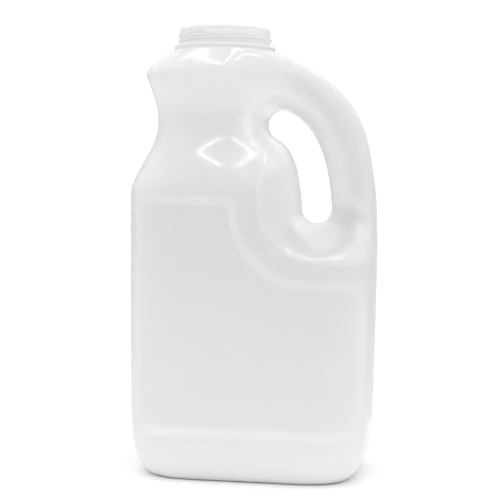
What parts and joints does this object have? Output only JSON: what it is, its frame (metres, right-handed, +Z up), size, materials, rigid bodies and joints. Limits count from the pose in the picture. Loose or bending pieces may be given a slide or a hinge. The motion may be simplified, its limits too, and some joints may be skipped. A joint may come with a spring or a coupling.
{
  "type": "plastic jug",
  "caption": "Translucent blow-moulded plastic jug with a boxy body, sunken label panels, a narrow throat, a hollow side handle and an open threaded mouth.",
  "frame": {"origin": "middle of the bounding box at the flat underside of the base", "axes": "+X towards the handle, +Y towards the back face, +Z up through the open mouth"},
  "size_m": [0.1604, 0.125, 0.2912],
  "materials": {
    "natural_plastic": "milky translucent, waxy satin gloss"
  },
  "bodies": {
    "root": {"jug": "natural_plastic"}
  },
  "joints": []
}
